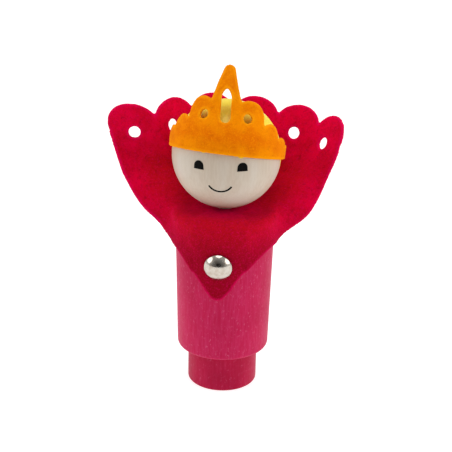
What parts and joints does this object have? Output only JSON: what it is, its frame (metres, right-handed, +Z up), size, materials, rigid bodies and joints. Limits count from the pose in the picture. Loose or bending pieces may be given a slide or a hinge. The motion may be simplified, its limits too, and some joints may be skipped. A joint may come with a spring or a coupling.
{
  "type": "craft stick puppet",
  "caption": "Small turned wooden stick puppet: a stained sleeve body on a hand stick that turns a ball head, with a scalloped felt collar and a felt crown.",
  "frame": {"origin": "centre of the hand stick's flat lower end, on the turning axis", "axes": "+Z up along the turning axis; the puppet faces -Y; +X to the right of someone who looks at its face"},
  "size_m": [0.0809, 0.0515, 0.1137],
  "materials": {
    "stained_sleeve_wood": "pink stain, fine turned grain",
    "stained_stick_wood": "deep magenta stain, fine turned grain",
    "natural_wood": "bare pale wood, sanded smooth",
    "magenta_felt": "pressed craft felt",
    "orange_felt": "pressed craft felt",
    "nickel": "bright nickel plate"
  },
  "bodies": {
    "body": {"body_sleeve": "stained_sleeve_wood", "felt_collar": "magenta_felt", "nail_cap": "nickel", "nail_shank": "nickel"},
    "turning_head": {"hand_stick": "stained_stick_wood", "neck_dowel": "natural_wood", "head_ball": "natural_wood"},
    "crown": {"felt_crown": "orange_felt"}
  },
  "joints": [
    {"name": "head_turn", "type": "hinge", "parent": "body", "child": "turning_head", "pos_m": [0, 0, 0.045], "axis": [0, 0, 1], "continuous": true},
    {"name": "crown_lift", "type": "slide", "parent": "turning_head", "child": "crown", "axis": [0.0733, 0.2474, 0.9661], "range_m": [0, 0.04]}
  ]
}
